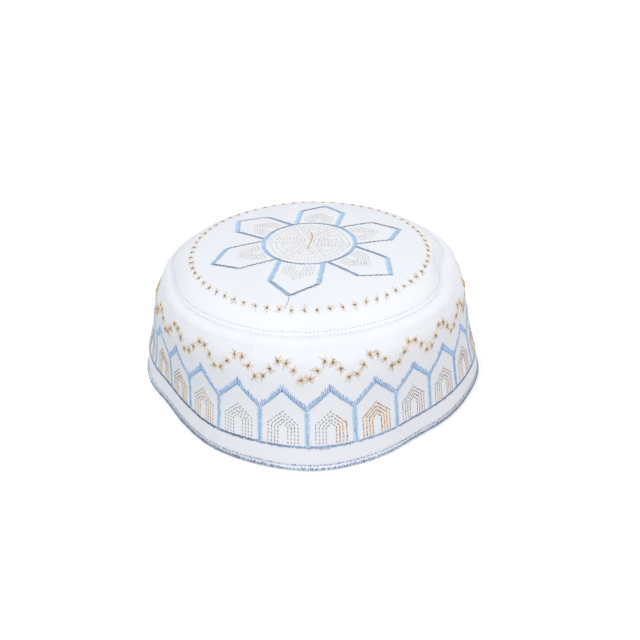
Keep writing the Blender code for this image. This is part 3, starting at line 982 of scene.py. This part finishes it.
edging = {
    "sections": 20,
    "columns": 720,
    "halfWidth": 1.0 * mm,
    "halfHeight": 1.15 * mm,
    "middle": 1.3 * mm,  # height of the section's middle
    "squareness": 0.7,  # below 1 the section is fuller than an ellipse
    "windings": 640,
    "windingTurn": np.linspace(-1.25, 0.25, 9) * np.pi,  # from the inner face to the outer
    "thread": 0.32 * mm,
    "slant": 0.45 * mm,  # how far a winding leans round the rim
    # dark stitches over the edging and on its face: height, pitch, length, lean and thickness
    "topRow": (3.0 * mm - hemStrip, 1.05 * mm, 0.95 * mm, 0.3, 0.58 * mm),
    "lowRow": (1.35 * mm, 1.0 * mm, 1.5 * mm, 0.5, 0.48 * mm),
    "rowHeight": 0.3 * mm,
}


def hemPlace(arc, side, height):
    # a point beside the middle of the hem's cloth
    angle = arc / baseRadius
    out = (baseRadius + outlineAt(angle, "swell")
           + outlineAt(angle, "flare") * (hemStrip - height) / hemStrip - cap["cloth"] / 2 + side)
    return atAngle(out, height, angle)


def hemSection(turn, swell):
    # rounded section: cosine and sine, each to a power under one, so that the sides are fuller
    side, up = (np.sign(wave) * np.abs(wave) ** edging["squareness"] for wave in (np.cos(turn), np.sin(turn)))
    return (edging["halfWidth"] + swell) * side, edging["middle"] + (edging["halfHeight"] + swell) * up


def edgeSideShade(arc):
    # painted shade: pale in front, dark round the sides
    return np.clip(1.2 * sideShadeAt(arc) - 0.38, 0, 1)


def makeBinding():
    # the section's outline carried round the rim
    turn = np.linspace(0, tau, edging["sections"], endpoint=False)
    side, height = hemSection(turn, 0)
    arc = np.linspace(0, tau, edging["columns"], endpoint=False) * baseRadius
    points = hemPlace(arc, side[:, None], height[:, None])
    rows, columns = points.shape[:2]
    piece = newPiece("edging_binding", points.reshape(-1, 3), ringFaces(rows, columns, closed=True),
                     *threads["bindingSilk"])
    # painted shade: the binding darker round the sides
    addNumbers(piece, tone=np.tile(0.65 * edgeSideShade(arc), rows), along=np.tile(arc, rows))
    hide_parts("hem_edging")
    sewnOn[bandPlace].append(piece)


def makeWindings():
    # each thread runs round the section, leaning left or right
    count, turn = edging["windings"], edging["windingTurn"]
    side, height = hemSection(turn, edging["thread"] * 0.25)
    lean = np.linspace(-1, 1, len(turn)) * edging["slant"] * np.where(np.arange(count) % 2, 1, -1)[:, None]
    arc = (np.arange(count)[:, None] + 0.5) / count * tau * baseRadius + lean
    arc += dice.normal(0, 0.05 * mm, (count, 1))
    normal = together(*aroundAxis(np.cos(turn), arc / baseRadius), np.sin(turn))
    # painted shade: windings darker round the sides, with a random tone on each
    tones = np.clip(1.1 * edgeSideShade(arc[:, :1]) + dice.normal(0, 0.2, (count, 1)), 0, 1)
    threadPiece("edging_windings", bandPlace, hemPlace(arc, side, height), normal, edging["thread"],
                edging["thread"] * 0.8, "bindingSilk", tone=tones, along=np.arange(len(turn)) * 0.7 * mm)


def facePlace(arc, height):
    # a point on the edging's outer face: side = half width (1 - share^(2/p))^(p/2), where share is the height's share
    # of the half height and p the squareness
    power = edging["squareness"]
    share = np.clip(np.abs(height - edging["middle"]) / edging["halfHeight"], 0, 0.98)
    side = edging["halfWidth"] * (1 - share ** (2 / power)) ** (power / 2)
    return hemPlace(arc, side, height)


def edgeStitches(height, pitch, length, slant, thick):
    # short stitches round the rim, each leaning and straying a little
    count = int(tau * baseRadius / pitch)
    arc = (np.arange(count) - count / 2 + dice.uniform(-0.3, 0.3, count)) * tau * baseRadius / count
    middle = together(arc, height + dice.normal(0, 0.12 * mm, count))
    way = together(slant * (np.arange(count) % 2 * 2 - 1) + dice.normal(0, 0.2, count), 1.0)
    half = way / np.linalg.norm(way, axis=1, keepdims=True) * length / 2 * dice.uniform(0.6, 1.25, (count, 1))
    # painted shade: the rows darker round the sides, on top of a random tone
    tone = dice.uniform(0.1, 0.8, count) + 0.4 * sideShadeAt(arc)
    width = thick * dice.uniform(0.7, 1.3, count)
    return [stitches(middle - half, middle + half, width, edging["rowHeight"], tone)]


makeBinding()
makeWindings()
stitchPiece("edging_top_row", bandPlace, edgeStitches(*edging["topRow"]), "slateSilk")
stitchPiece("edging_low_row", facePlace, edgeStitches(*edging["lowRow"]), "slateSilk", rise=edging["thread"] / 2)
print("edging made")

sewnOn[bandPlace] + sewnOn[facePlace]


studio = {
    "floor": 40.0,
    "floorColour": (0.99, 0.99, 0.99),
    "world": (0.96, 0.97, 1.0),
    "worldStrength": 0.545,
    "softness": np.radians(38),
    # degrees from the front towards the right, degrees above the floor, strength, colour
    "lamps": {"key": (6, 30, 1.51, (1.0, 1.0, 1.0)), "overhead": (-60, 80, 0.90, (1.0, 1.0, 1.0)),
              "leftFill": (-80, 42, 0.26, (0.72, 0.97, 1.0)), "rightFill": (85, 30, 0.31, (1.0, 0.90, 0.92))},
}


def makeStudio():
    # a wide white floor, a dim even sky, and four soft lamps far off
    floor = bpy.data.meshes.new("floor")
    half = studio["floor"] / 2
    floor.from_pydata([(-half, -half, 0), (half, -half, 0), (half, half, 0), (-half, half, 0)], [], [(0, 1, 2, 3)])
    paper = Finish("floorPaper")
    floor.materials.append(paper.finished({"Base Color": (*studio["floorColour"], 1), "Roughness": 0.9}))
    ground = newObject("floor", floor)
    ground.visible_diffuse = False  # a cut-out ground throws no light back up
    world = bpy.data.worlds.new("studio")
    world.use_nodes = True
    sky = world.node_tree.nodes["Background"]
    sky.inputs["Color"].default_value = (*studio["world"], 1)
    sky.inputs["Strength"].default_value = studio["worldStrength"]
    bpy.context.scene.world = world
    for name, (across, above, strength, colour) in studio["lamps"].items():
        light = bpy.data.lights.new(name, "SUN")
        light.angle = studio["softness"]
        light.energy = strength
        light.color = colour
        newObject(name, light).rotation_euler = (np.radians(90 - above), 0, np.radians(across))
    bpy.context.scene.view_settings.view_transform = "Standard"


makeStudio()
print("studio made")
